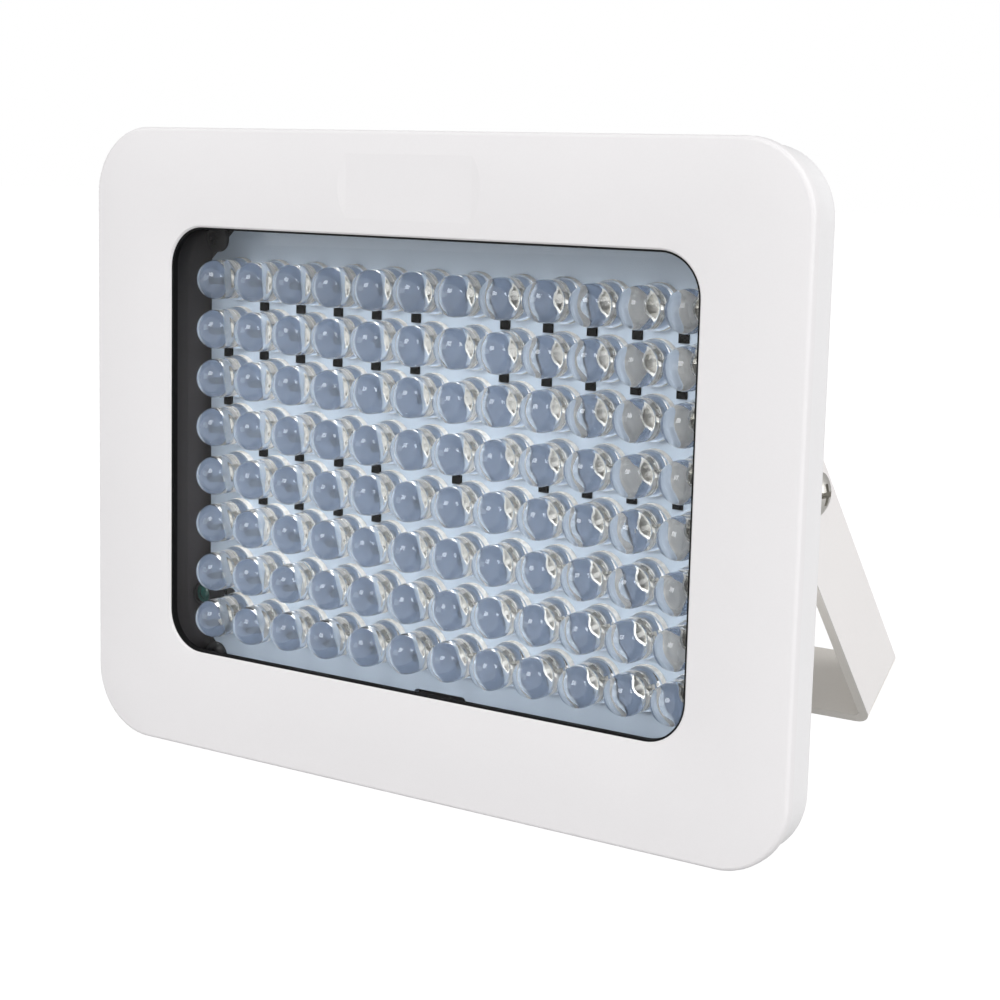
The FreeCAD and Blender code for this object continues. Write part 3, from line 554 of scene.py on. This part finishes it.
def inside_box(tree, centre, reach):
    """One where the surface lies in a box, given by its centre and its half sizes."""
    place = tree.nodes.new("ShaderNodeTexCoord")
    parts = tree.nodes.new("ShaderNodeSeparateXYZ")
    tree.links.new(place.outputs["Object"], parts.inputs[0])
    within = None
    for number in range(3):
        near = tree.nodes.new("ShaderNodeMath")
        near.operation = "COMPARE"
        near.inputs[1].default_value = centre[number]
        near.inputs[2].default_value = reach[number]
        tree.links.new(parts.outputs[number], near.inputs[0])
        if within is None:
            within = near.outputs[0]
            continue
        both = tree.nodes.new("ShaderNodeMath")
        both.operation = "MULTIPLY"
        tree.links.new(within, both.inputs[0])
        tree.links.new(near.outputs[0], both.inputs[1])
        within = both.outputs[0]
    return within


def recolour(material, mask, colour):
    """Gives the masked part of a finish another base colour."""
    tree = material.node_tree
    patch = tree.nodes.new("ShaderNodeMix")
    patch.data_type = "RGBA"
    patch.inputs["A"].default_value = tree.nodes["tint"].inputs["A"].default_value
    patch.inputs["B"].default_value = colour
    tree.links.new(mask, patch.inputs["Factor"])
    tree.links.new(patch.outputs["Result"], tree.nodes["tint"].inputs["A"])


housing_white = finish(
    "housing_white", paint(238, 237, 238),
    roughness=0.62, grains=1600, spread=0.03, bump=0.00002, sheen_level=0.4,
)
chamber = inside_box(
    housing_white.node_tree,
    (0, (solid_low.y + chamber_back) / 2, chamber_middle_z),
    (chamber_half_width, (chamber_back - solid_low.y) / 2, chamber_half_height),
)
# Painted shade: the chamber's walls get the dark grey, which is partly the bare metal.
recolour(housing_white, chamber, chamber_bare_grey_and_shade)
dress("rear_housing", housing_white)


# Bracket: one strip of steel, bent twice and powder-coated white. Everywhere but on the
# arms' outer faces the white is painted a little warmer and whiter: painted light on
# the inner faces and edges, which stand in the housing's shade.
face_margin = 0.0001
inner_painted_light = paint(252, 248, 241)
bracket_white = finish(
    "bracket_white", paint(240, 237, 236),
    roughness=0.6, grains=1600, spread=0.03, bump=0.00002, sheen_level=0.4,
)
bracket_low, bracket_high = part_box("bracket")
painted_light_between_arms = inside_box(
    bracket_white.node_tree,
    (bracket_low + bracket_high) / 2,
    (bracket_high - bracket_low) / 2 + Vector((-face_margin, face_margin, face_margin)),
)
# Painted light: the faces between the arms get the lighter, warmer white.
recolour(bracket_white, painted_light_between_arms, inner_painted_light)
dress("bracket", bracket_white)


# Screws and toothed washers: zinc-plated steel, satin with a faint grain. The LED
# board's own screws are blackened.
screw_steel = finish(
    "screw_steel", paint(222, 220, 214),
    roughness=0.4, grains=2500, spread=0.15, bump=0.000004, metallic=1.0,
)
for node in ("pivot_screws", "toothed_washers", "cover_screws", "driver_screws"):
    dress(node, screw_steel)
screw_black = finish(
    "screw_black", paint(34, 34, 36), roughness=0.5, grains=2500, spread=0.15, bump=0.000004
)
dress("board_screws", screw_black)


# Friction washers: natural nylon, between the bracket's arms and the housing.
washer_nylon = finish(
    "washer_nylon", paint(222, 219, 208),
    roughness=0.5, grains=1200, spread=0.05, bump=0.000004,
)
dress("friction_washers", washer_nylon)


# Cable gland: grey-white nylon body, nut and cap, with a rubber sleeve and washer. The
# seal between the cover and the rear housing is of the same rubber.
gland_nylon = finish(
    "gland_nylon", paint(221, 221, 219),
    roughness=0.45, grains=1500, spread=0.04, bump=0.000008,
)
for node in ("gland_body", "gland_cap", "gland_locknut"):
    dress(node, gland_nylon)
for node in ("gland_seal", "gland_washer", "housing_seal"):
    dress(node, black_rubber)


# Driver board and its parts, closed in behind the LED board.
board_green = finish(
    "board_green", paint(36, 92, 58), roughness=0.35, grains=900, spread=0.12, bump=0.000004
)
dress("driver_board", board_green)
coil_yellow = finish(
    "coil_yellow", paint(196, 160, 56), roughness=0.45, grains=900, spread=0.1, bump=0.000005
)
dress("driver_transformer", coil_yellow)
can_aluminium = finish(
    "can_aluminium", paint(186, 188, 190),
    roughness=0.3, grains=1500, spread=0.08, bump=0.000003, metallic=1.0,
)
dress("driver_capacitors", can_aluminium)
terminal_grey = finish(
    "terminal_grey", paint(92, 110, 120),
    roughness=0.45, grains=1500, spread=0.06, bump=0.000006,
)
dress("driver_terminal", terminal_grey)
